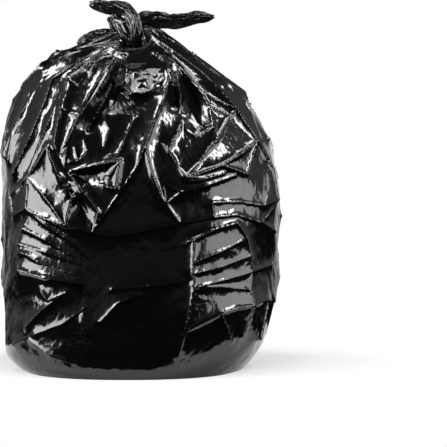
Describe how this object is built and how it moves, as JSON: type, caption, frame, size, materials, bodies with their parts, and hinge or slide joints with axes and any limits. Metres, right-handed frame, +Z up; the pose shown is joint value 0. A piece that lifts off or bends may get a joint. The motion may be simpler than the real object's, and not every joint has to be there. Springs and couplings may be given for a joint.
{
  "type": "tied bin bag",
  "caption": "Filled black bin bag of thin glossy film, gathered and tied with its own mouth into a knot with two ears, standing on its flattened base.",
  "frame": {"origin": "on the floor, under the middle of the box around the sack", "axes": "+Z up, +X to the viewer's right, -Y towards the viewer who faces the sack's front"},
  "size_m": [0.46, 0.4, 0.5962],
  "materials": {
    "film": "glossy thin film with sharp folds and fine creases"
  },
  "bodies": {
    "root": {"bag": "film"}
  },
  "joints": []
}
